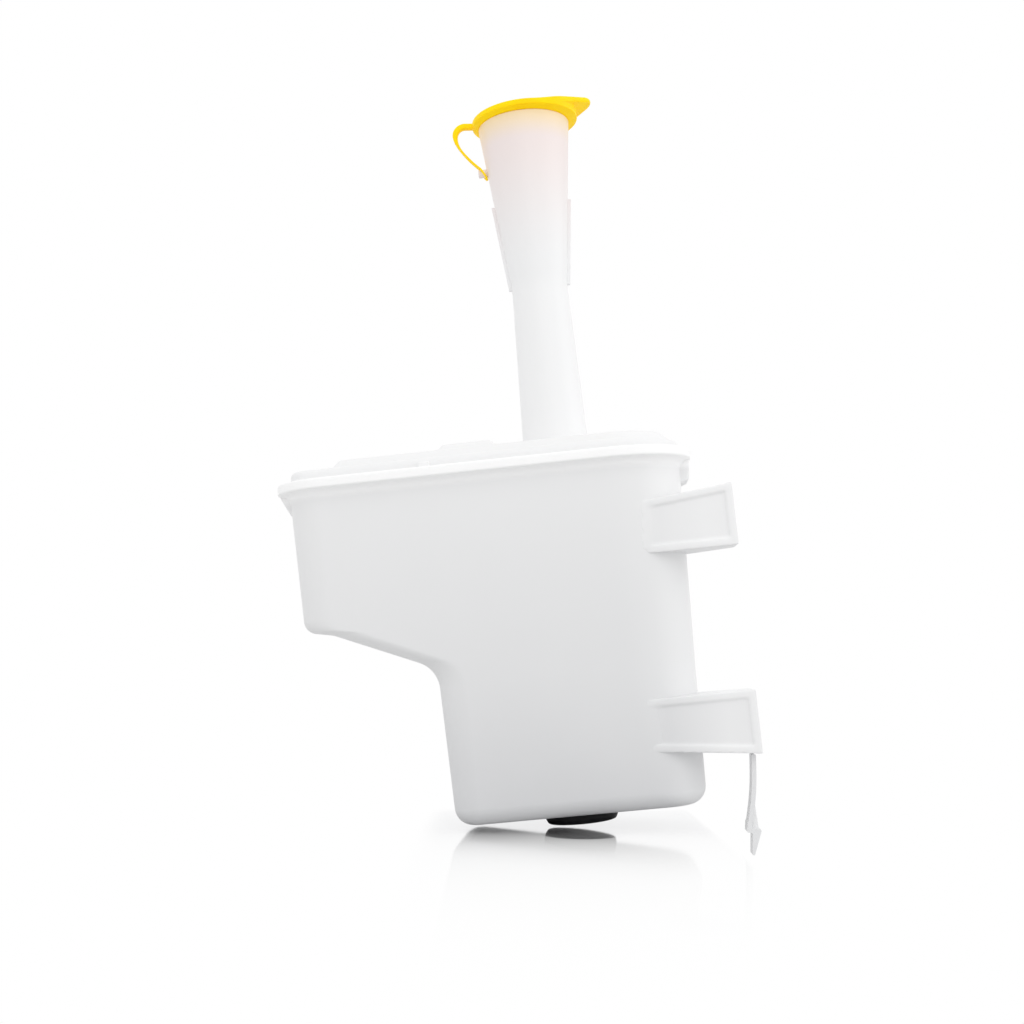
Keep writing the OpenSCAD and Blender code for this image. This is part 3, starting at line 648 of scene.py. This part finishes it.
def capOutline():  # seen from above: a disc drawn out along two tangents to a round tip
    turn = acos((cap["r"] - tab["tipR"]) / (tab["tip"] - cap["shift"]))
    disc = [turn + 2 * (pi - turn) * k / cap["steps"] for k in range(cap["steps"] + 1)]
    tip = [turn * (2 * k / tab["steps"] - 1) for k in range(tab["steps"] + 1)]
    disc = [Vector((cap["shift"] + cap["r"] * cos(a), cap["r"] * sin(a))) for a in disc]
    tip = [Vector((tab["tip"] + tab["tipR"] * cos(a), tab["tipR"] * sin(a))) for a in tip]
    shares = [k / tab["sideSteps"] for k in range(1, tab["sideSteps"])]
    return disc + [disc[-1].lerp(tip[0], s) for s in shares] + tip + [tip[-1].lerp(disc[0], s) for s in shares]


def lift(x):  # how far the cap's top has risen at x, past its soft bend
    over, ease = x - tab["bend"], tab["ease"]
    run = max(over, 0.0) if abs(over) > ease else (over + ease) ** 2 / (4 * ease)
    return run * tan(radians(tab["tilt"]))


def capProfile(edge):  # from the middle of the underside round plug ring, skirt and edge to the middle of the top
    out, along = edge.length, edge.x / edge.length
    skirtIn, plugOut = lipOut + cap["gap"], lipIn - cap["gap"]
    plugLow, t, deep = plugOut - cap["gap"], cap["skirt"], capUnder - cap["plugDepth"]
    rimLow, grow = capTop - cap["rim"], cap["grow"]
    rim = cap["shift"] * along + (cap["r"] ** 2 - (cap["shift"] * edge.y / out) ** 2) ** 0.5  # round, under the lobe
    shelf = max(rimLow + cap["shelf"], capTop - tab["thick"] + lift(rim * along))
    below, reach = max(shelf, capTop - tab["thick"] + lift(out * along)), out - rim + grow
    points = [(0, capUnder), (plugOut - t, capUnder), (plugLow - t, deep), (plugLow, deep), (plugOut, capUnder),
              (skirtIn, capUnder), (skirtIn, capLow), (skirtIn + t, capLow), (rim, rimLow), (rim, shelf),
              (out + grow, below), (out + grow, capTop + lift(out * along))]
    rootSoft = min(tab["rootSoft"], tab["rootShare"] * reach, tab["rootShare"] * (shelf - rimLow))
    topSoft = cap["soft"] + (tab["tipSoft"] - cap["soft"]) * min(reach / tab["tipRun"], 1)
    radii = [*cap["radii"], rootSoft, min(tab["soft"], tab["softShare"] * reach), topSoft]
    for k in range(1, cap["topSteps"] + 1):
        share = 1 - k / cap["topSteps"]
        points.append((out * share, capTop + lift(out * share * along) + cap["crown"] * (1 - share * share)))
        radii.append(0)
    return softened(points, radii)


capColumns = [(atan2(edge.y, edge.x), capProfile(edge)) for edge in capOutline()]
fillerCap = makePiece("fillerCap", [spin(capColumns, neckPlace)], yellow, sharp=60.0)

# Geometry Nodes: a strip that follows a path, and thins along it

tether = dict(width=4.5, loopThick=3.4, raised=1.0, dip=1.5, runThick=1.2, thinFrom=0.34, thinTo=0.66, edge=0.7,
              loopR=6.4, loopOffset=4.2, bow=0.62, rootIn=5.0, eyeR=3.7, eyeRing=1.4, eyeSoft=0.4, eyeLean=60.0,
              steps=16)


def stripTree():
    tree = bpy.data.node_groups.new("stripAlongPath", "GeometryNodeTree")
    tree.interface.new_socket(name="Path", in_out="INPUT", socket_type="NodeSocketGeometry")
    for name in ("Width", "Thickness", "End Share", "Thin From", "Thin To", "Edge Radius"):
        tree.interface.new_socket(name=name, in_out="INPUT", socket_type="NodeSocketFloat")
    tree.interface.new_socket(name="Side", in_out="INPUT", socket_type="NodeSocketVector")
    tree.interface.new_socket(name="Material", in_out="INPUT", socket_type="NodeSocketMaterial")
    tree.interface.new_socket(name="Strip", in_out="OUTPUT", socket_type="NodeSocketGeometry")

    def add(kind, settings=None, **sockets):
        node = tree.nodes.new(kind)
        for key, value in (settings or {}).items():
            setattr(node, key, value)
        for key, value in sockets.items():
            socket = node.inputs[int(key[1:])] if key[0] == "i" and key[1:].isdigit() else node.inputs[key]
            if isinstance(value, bpy.types.NodeSocket):
                tree.links.new(value, socket)
            else:
                socket.default_value = value
        return node

    given = add("NodeGroupInput").outputs
    sided = add("GeometryNodeSetCurveNormal", {"mode": "FREE"}, Curve=given["Path"], Normal=given["Side"])
    capture = add("GeometryNodeCaptureAttribute", i0=sided.outputs[0])
    for kind, name in (("VECTOR", "centre"), ("VECTOR", "along"), ("FLOAT", "share")):
        capture.capture_items.new(kind, name)
    tree.links.new(add("GeometryNodeInputPosition").outputs[0], capture.inputs[1])
    tree.links.new(add("GeometryNodeInputTangent").outputs[0], capture.inputs[2])
    tree.links.new(add("GeometryNodeSplineParameter").outputs["Factor"], capture.inputs[3])
    section = add("GeometryNodeCurvePrimitiveQuadrilateral", Width=given["Width"], Height=given["Thickness"])
    soft = add("GeometryNodeFilletCurve", {"mode": "POLY"}, Curve=section.outputs[0], Count=3,
               Radius=given["Edge Radius"])
    swept = add("GeometryNodeCurveToMesh", i0=capture.outputs[0], i1=soft.outputs[0], i3=True)
    across = add("ShaderNodeVectorMath", {"operation": "CROSS_PRODUCT"}, i0=capture.outputs[2], i1=given["Side"])
    arm = add("ShaderNodeVectorMath", {"operation": "SUBTRACT"},
              i0=add("GeometryNodeInputPosition").outputs[0], i1=capture.outputs[1])
    height = add("ShaderNodeVectorMath", {"operation": "DOT_PRODUCT"}, i0=arm.outputs[0], i1=across.outputs[0])
    share = add("ShaderNodeMapRange", {"interpolation_type": "SMOOTHSTEP"}, i0=capture.outputs[3],
                i1=given["Thin From"], i2=given["Thin To"], i3=0.0, i4=given["End Share"])
    push = add("ShaderNodeMath", {"operation": "MULTIPLY"}, i0=height.outputs["Value"], i1=share.outputs[0])
    offset = add("ShaderNodeVectorMath", {"operation": "SCALE"}, i0=across.outputs[0], i3=push.outputs[0])
    thinned = add("GeometryNodeSetPosition", Geometry=swept.outputs[0], Offset=offset.outputs[0])
    whole = add("GeometryNodeRealizeInstances", i0=thinned.outputs[0])
    painted = add("GeometryNodeSetMaterial", Geometry=whole.outputs[0], Material=given["Material"])
    add("NodeGroupOutput", i0=painted.outputs[0])
    return tree


strip = stripTree()


def stripAlong(points, side, material, **sizes):
    curve = bpy.data.curves.new("path", "CURVE")
    curve.dimensions = "3D"
    spline = curve.splines.new("POLY")
    spline.points.add(len(points) - 1)
    for point, place in zip(spline.points, points):
        point.co = (*place, 1.0)
    path = bpy.data.objects.new("path", curve)
    scene.collection.objects.link(path)
    modifier = path.modifiers.new("strip", "NODES")
    modifier.node_group = strip
    names = {item.name: item.identifier for item in strip.interface.items_tree if item.in_out == "INPUT"}
    for name, value in dict(sizes, Side=side, Material=material).items():
        modifier[names[name.replace("_", " ")]] = value
    path.update_tag()
    mesh = bpy.data.meshes.new_from_object(path.evaluated_get(bpy.context.evaluated_depsgraph_get()))
    path.modifiers.clear()
    bpy.data.objects.remove(path)
    bm = bmesh.new()
    bm.from_mesh(mesh)
    bmesh.ops.remove_doubles(bm, verts=bm.verts, dist=hair)
    bmesh.ops.recalc_face_normals(bm, faces=bm.faces)
    return toMesh(bm)


loopMid = Vector((-cap["r"] - tether["loopOffset"], capTop - tether["loopR"] - tether["dip"] + tether["raised"]))
hinge = loopMid - Vector((tether["loopR"], 0))
eyeLean = radians(tether["eyeLean"])
eyeDown = Vector((cos(eyeLean), -sin(eyeLean)))
eyeFoot = (tether["eyeR"] + tether["eyeRing"]) * eyeDown + tether["runThick"] / 2 * Vector((sin(eyeLean), cos(eyeLean)))
eyeMid = Vector((-funnelR(peg["z"] + eyeFoot.y) - cap["clear"] - eyeFoot.x, peg["z"]))  # its foot rests near the neck


def tetherPath():  # from the cap's rim round the loop and down to the eye, seen from the front
    steps, last = tether["steps"], eyeMid - (tether["eyeR"] + tether["eyeRing"] / 2) * eyeDown
    bow = Vector((hinge.x, last.y + (hinge.y - last.y) * tether["bow"]))
    path = [Vector((tether["rootIn"] - cap["r"], loopMid.y + tether["loopR"] - tether["raised"]))]
    path += [loopMid + tether["loopR"] * Vector((cos(pi / 2 + a), sin(pi / 2 + a))) for a in quarter(steps)]
    for k in range(1, steps + 1):
        s = k / steps
        path.append((1 - s) ** 2 * hinge + 2 * s * (1 - s) * bow + s * s * last)
    return [at(p.x, 0, p.y) for p in path]


def eyeMesh():
    place = Matrix.Translation(at(eyeMid.x, 0, eyeMid.y)) @ Matrix.Rotation(eyeLean, 4, "Y")
    r0, r1, half = tether["eyeR"], tether["eyeR"] + tether["eyeRing"], tether["runThick"] / 2
    ring = [(r0, -half), (r1, -half), (r1, half), (r0, half)]
    return lathe(softened(ring, [tether["eyeSoft"]] * 4, closed=True), place, closed=True, steps=64)


tetherStrip = stripAlong(tetherPath(), (0.0, 1.0, 0.0), yellow, Width=tether["width"] * mm,
                         Thickness=tether["loopThick"] * mm, End_Share=tether["runThick"] / tether["loopThick"] - 1,
                         Thin_From=tether["thinFrom"], Thin_To=tether["thinTo"], Edge_Radius=tether["edge"] * mm)
capTether = makePiece("capTether", [tetherStrip, eyeMesh()], yellow)

# Hose strap under the lower bracket

# The last entry gives the strap and its web their share of painted light
strap = dict(length=55.5, thick=2.6, width=12.0, lean=10.0, point=15.0, step=4.6, webHeight=20.0, web=2.0, clear=0.3,
             inset=4.8, soft=0.6, webSoft=0.5, bow=1.2, steps=12, knuckleSteps=10,
             endRadii=(0, 1.0, 0.8, 0.5, 0.5, 1.2, 1.2, 0), paintedLight=(0.5, 1.0))


def strapMeshes():
    half, low = strap["thick"] / 2, strap["point"] - strap["length"]
    root = at(bracket["reach"] - strap["inset"], boltLine,
              -bracket["upper"] - bracket["spacing"] - bracket["height"] / 2 - strap["clear"] - half)
    turned = Matrix.Translation(root) @ Matrix.Rotation(radians(strap["lean"]), 4, "Y")
    turns = [pi * k / strap["knuckleSteps"] for k in range(strap["knuckleSteps"] + 1)]
    knuckle = [(half * cos(a), half * sin(a)) for a in turns]
    step, thick, tip = strap["step"], strap["thick"], -strap["length"]
    pointX = step - thick

    def bowed(x, z):  # the hanging length bows out a little
        return x + strap["bow"] * sin(pi * min(max(z / low, 0), 1)), z

    def hung(outline, width, soft):
        return frontPlate(outline, -width / 2, width / 2, soft, lambda x, y, z: turned @ (Vector((x, y, z)) * mm))

    drops = [low * k / strap["steps"] for k in range(1, strap["steps"])]
    end = softened([(-half, drops[-1]), (-half, low - thick), (pointX, low - thick), (pointX + half / 2, tip),
                    (pointX + 1.5 * half, tip), (step + thick, low), (half, low), (half, drops[-1])],
                   strap["endRadii"])
    outline = knuckle + [bowed(-half, z) for z in drops] + end + [bowed(half, z) for z in reversed(drops)]
    webTop = low + strap["webHeight"]
    web = [(0, low - half), (step + half, low - half), (step + half, low), (half, webTop), (0, webTop)]
    return [hung(outline, strap["width"], strap["soft"]), hung(web, strap["web"], strap["webSoft"])]


hoseStrap = evenNormals(makePiece("hoseStrap", strapMeshes(), natural, paintedLight=strap["paintedLight"]))

# Base plug and pump seal


def plugMesh():
    head, r, hole, lip, wall = plug["head"], plug["headR"], plug["holeR"], plug["lip"], plan["wall"]
    points = [(0, -head), (r - lip / 2, -head), (r, lip - head), (r, -plug["gap"]), (hole, -plug["gap"]), (hole, wall),
              (hole + lip, wall), (hole, wall + lip), (0, wall + lip)]
    return lathe(softened(points, plug["radii"]), plugPlace, steps=128)


def sealMesh():
    bore, hole, lip, low = seal["boreR"], seal["holeR"], seal["lip"], -plan["wall"] - seal["lip"] / 2
    points = [(bore, low - lip), (hole, low - lip), (hole + lip, low), (hole, low), (hole, lip / 2),
              (hole + lip, lip / 2), (hole + lip, 1.5 * lip), (bore, 1.5 * lip)]
    return lathe(softened(points, seal["radii"], closed=True), sealPlace, closed=True)


basePlug = makePiece("basePlug", [plugMesh()], rubber)
pumpSeal = makePiece("pumpSeal", [sealMesh()], rubber)

# Bodies, slots and the CAD nodes that each piece stands for

for piece, body, node, slot in ((tankTub, "tank", "tank_tub", "natural_plastic"),
                                (tankLid, "tank", "tank_lid", "natural_plastic"),
                                (fillerCap, "cap", "filler_cap", "yellow_plastic"),
                                (hoseStrap, "strap", "hose_strap", "natural_plastic"),
                                (basePlug, "tank", "base_plug", "black_rubber"),
                                (pumpSeal, "tank", "pump_seal", "black_rubber")):
    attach(piece, body)
    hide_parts(node)
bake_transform(capTether)
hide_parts("cap_tether")
print("pieces placed")

# Camera: low and a little to the right, rolled so that the tank leans as it does on its plug

shot = dict(yaw=3.0, pitch=-6.26, roll=5.6, distance=837.0, focal=1350.0, image=1024.0, aim=(-31.26, 0.88, -22.97),
            sensor=36.0, far=20.0)


def cameraAxes():
    a, e, r = radians(shot["yaw"]), radians(shot["pitch"]), radians(shot["roll"])
    back = Vector((sin(a) * cos(e), -cos(a) * cos(e), sin(e)))
    right = Vector((cos(a), sin(a), 0))
    up = back.cross(right)
    return cos(r) * right - sin(r) * up, sin(r) * right + cos(r) * up, back


camRight, camUp, camBack = cameraAxes()
camera = bpy.data.cameras.new("camera")
camera.sensor_fit = "HORIZONTAL"
camera.sensor_width = shot["sensor"]
camera.lens = shot["sensor"] * shot["focal"] / shot["image"]
camera.clip_end = shot["far"]
eye = at(*shot["aim"]) + camBack * (shot["distance"] * mm)
viewer = bpy.data.objects.new("camera", camera)
viewer.matrix_world = Matrix.Translation(eye) @ Matrix((camRight, camUp, camBack)).transposed().to_4x4()
scene.collection.objects.link(viewer)
scene.camera = viewer

# Floor: level in the picture, just under the plug, with a soft drop at the right below the hanging strap

floorLook = dict(level=-216.8, edge=88.0, run=45.0, drop=26.0, reach=2000.0, depth=(-2400.0, 3600.0), steps=16,
                 white=(0.95, 0.95, 0.955), dark=(0.6, 0.6, 0.6), gloss=0.07, glossSwing=0.02, cloud=(3.0, 2.0),
                 mirror=0.88, bounce=0.75, foot=-22.0, fade=70.0, fadeTo=0.37, back=(60.0, 110.0),
                 left=(-86.0, -68.0), right=(84.0, 91.0), spot=(12.0, -32.0, 28.0, 30.0), spotEdge=(0.6, 1.3))
floorUp = camUp * cos(radians(shot["pitch"])) + camBack * sin(radians(shot["pitch"]))
floorRight = (camRight - camRight.dot(floorUp) * floorUp).normalized()
floorBack = floorUp.cross(floorRight)


def floorMaterial():  # a polished floor near the tank, which fades to plain white around it
    look = floorLook
    made, wire, shader = newMaterial("paleFloor")
    made.node_tree.nodes.remove(shader)
    coords = wire.node("ShaderNodeTexCoord", out="Object")
    rough = look["gloss"] + speckle(coords, *look["cloud"]).swing(look["glossSwing"])
    seen = wire.node("ShaderNodeLightPath", out="Is Camera Ray")
    paint = seen.tinted(look["dark"], look["white"])  # less light thrown back up than the eye sees
    matt = wire.node("ShaderNodeBsdfDiffuse", sockets={"Color": paint})
    shiny = wire.node("ShaderNodeBsdfAnisotropic", sockets={"Color": paint, "Roughness": rough})
    polished = wire.node("ShaderNodeMixShader", sockets={0: look["mirror"], 1: matt, 2: shiny})
    plain = wire.node("ShaderNodeEmission", sockets={"Strength": look["bounce"] + seen * (1 - look["bounce"])})

    def along(axis, zero):  # distance from the tank's foot in mm
        dot = wire.node("ShaderNodeVectorMath", {"operation": "DOT_PRODUCT"}, {0: coords, 1: axis}, out="Value")
        return dot / mm - (at(0, 0, 0).dot(axis) / mm + zero)

    front = wire.maths("MAXIMUM", -1 * along(floorBack, look["foot"]), 0.0)
    aside = along(floorRight, 0.0)
    near = wire.maths("POWER", look["fadeTo"], front / look["fade"])
    near = near * along(floorBack, 0.0).ranged(*look["back"], 1.0, 0.0)
    near = near * aside.ranged(*look["left"]) * aside.ranged(*look["right"], 1.0, 0.0)
    x, y, wide, deep = look["spot"]  # in front of the plug
    acrossSpot, downSpot = along(floorRight, x) / wide, along(floorBack, y) / deep
    spot = (acrossSpot * acrossSpot + downSpot * downSpot).ranged(*look["spotEdge"], 1.0, 0.0)
    near = wire.maths("MAXIMUM", near, spot)
    both = wire.node("ShaderNodeMixShader", sockets={0: near, 1: plain, 2: polished})
    made.node_tree.links.new(both.socket, made.node_tree.nodes["Material Output"].inputs["Surface"])
    return made


def makeFloor():
    look = floorLook
    ease = [k / look["steps"] for k in range(look["steps"] + 1)]
    profile = [(-look["reach"], 0.0)]
    profile += [(look["edge"] + look["run"] * s, -look["drop"] * s * s * (3 - 2 * s)) for s in ease]
    profile.append((look["reach"], -look["drop"]))
    bm = bmesh.new()
    rows = []
    for depth in look["depth"]:
        rows.append([bm.verts.new(at(0, 0, 0) + floorUp * ((h + look["level"]) * mm) + floorRight * (x * mm)
                                  + floorBack * (depth * mm)) for x, h in profile])
    bridge(bm, *rows, closed=False)
    mesh = bpy.data.meshes.new("floor")
    bm.to_mesh(mesh)
    bm.free()
    mesh.shade_smooth()
    mesh.materials.append(floorMaterial())
    floor = bpy.data.objects.new("floor", mesh)
    scene.collection.objects.link(floor)


makeFloor()

# Light: a bright room with wide lamps overhead, at the right and in front

# Each lamp's place to the right, back and up, its size and its power, in metres and watts
lamps = dict(top=(0.0, 0.1, 1.25, 1.6, 0.8), right=(1.2, -0.25, 0.5, 1.2, 2.0), front=(0.0, -1.1, 0.8, 1.4, 2.5))
room = dict(light=0.95, aim=(-20.0, 0.0, 0.0))


def makeLamp(name, x, y, z, size, power):
    light = bpy.data.lights.new(name, "AREA")
    light.shape = "DISK"
    light.size = size
    light.energy = power
    lamp = bpy.data.objects.new(name, light)
    place = at(0, 0, 0) + floorRight * x + floorBack * y + floorUp * z
    aim = at(*room["aim"]) - place
    lamp.matrix_world = Matrix.Translation(place) @ aim.to_track_quat("-Z", "Y").to_matrix().to_4x4()
    scene.collection.objects.link(lamp)


for name, sizes in lamps.items():
    makeLamp(name + "Lamp", *sizes)

world = bpy.data.worlds.new("whiteRoom")
world.use_nodes = True
scene.world = world
lightPath = world.node_tree.nodes.new("ShaderNodeLightPath")
seen, glossy, passed = [Wire(world.node_tree, lightPath.outputs[name])
                        for name in ("Is Camera Ray", "Is Glossy Ray", "Is Transmission Ray")]
direct = seen.maths("MINIMUM", seen + (glossy + passed), 1.0)  # what the eye or a mirror sees is plain white
backdrop = world.node_tree.nodes["Background"]
backdrop.inputs["Color"].default_value = (1.0, 1.0, 1.0, 1.0)
feed(backdrop, "Strength", room["light"] + direct * (1 - room["light"]))

scene.view_settings.view_transform = "Standard"
print("camera, floor and light set")
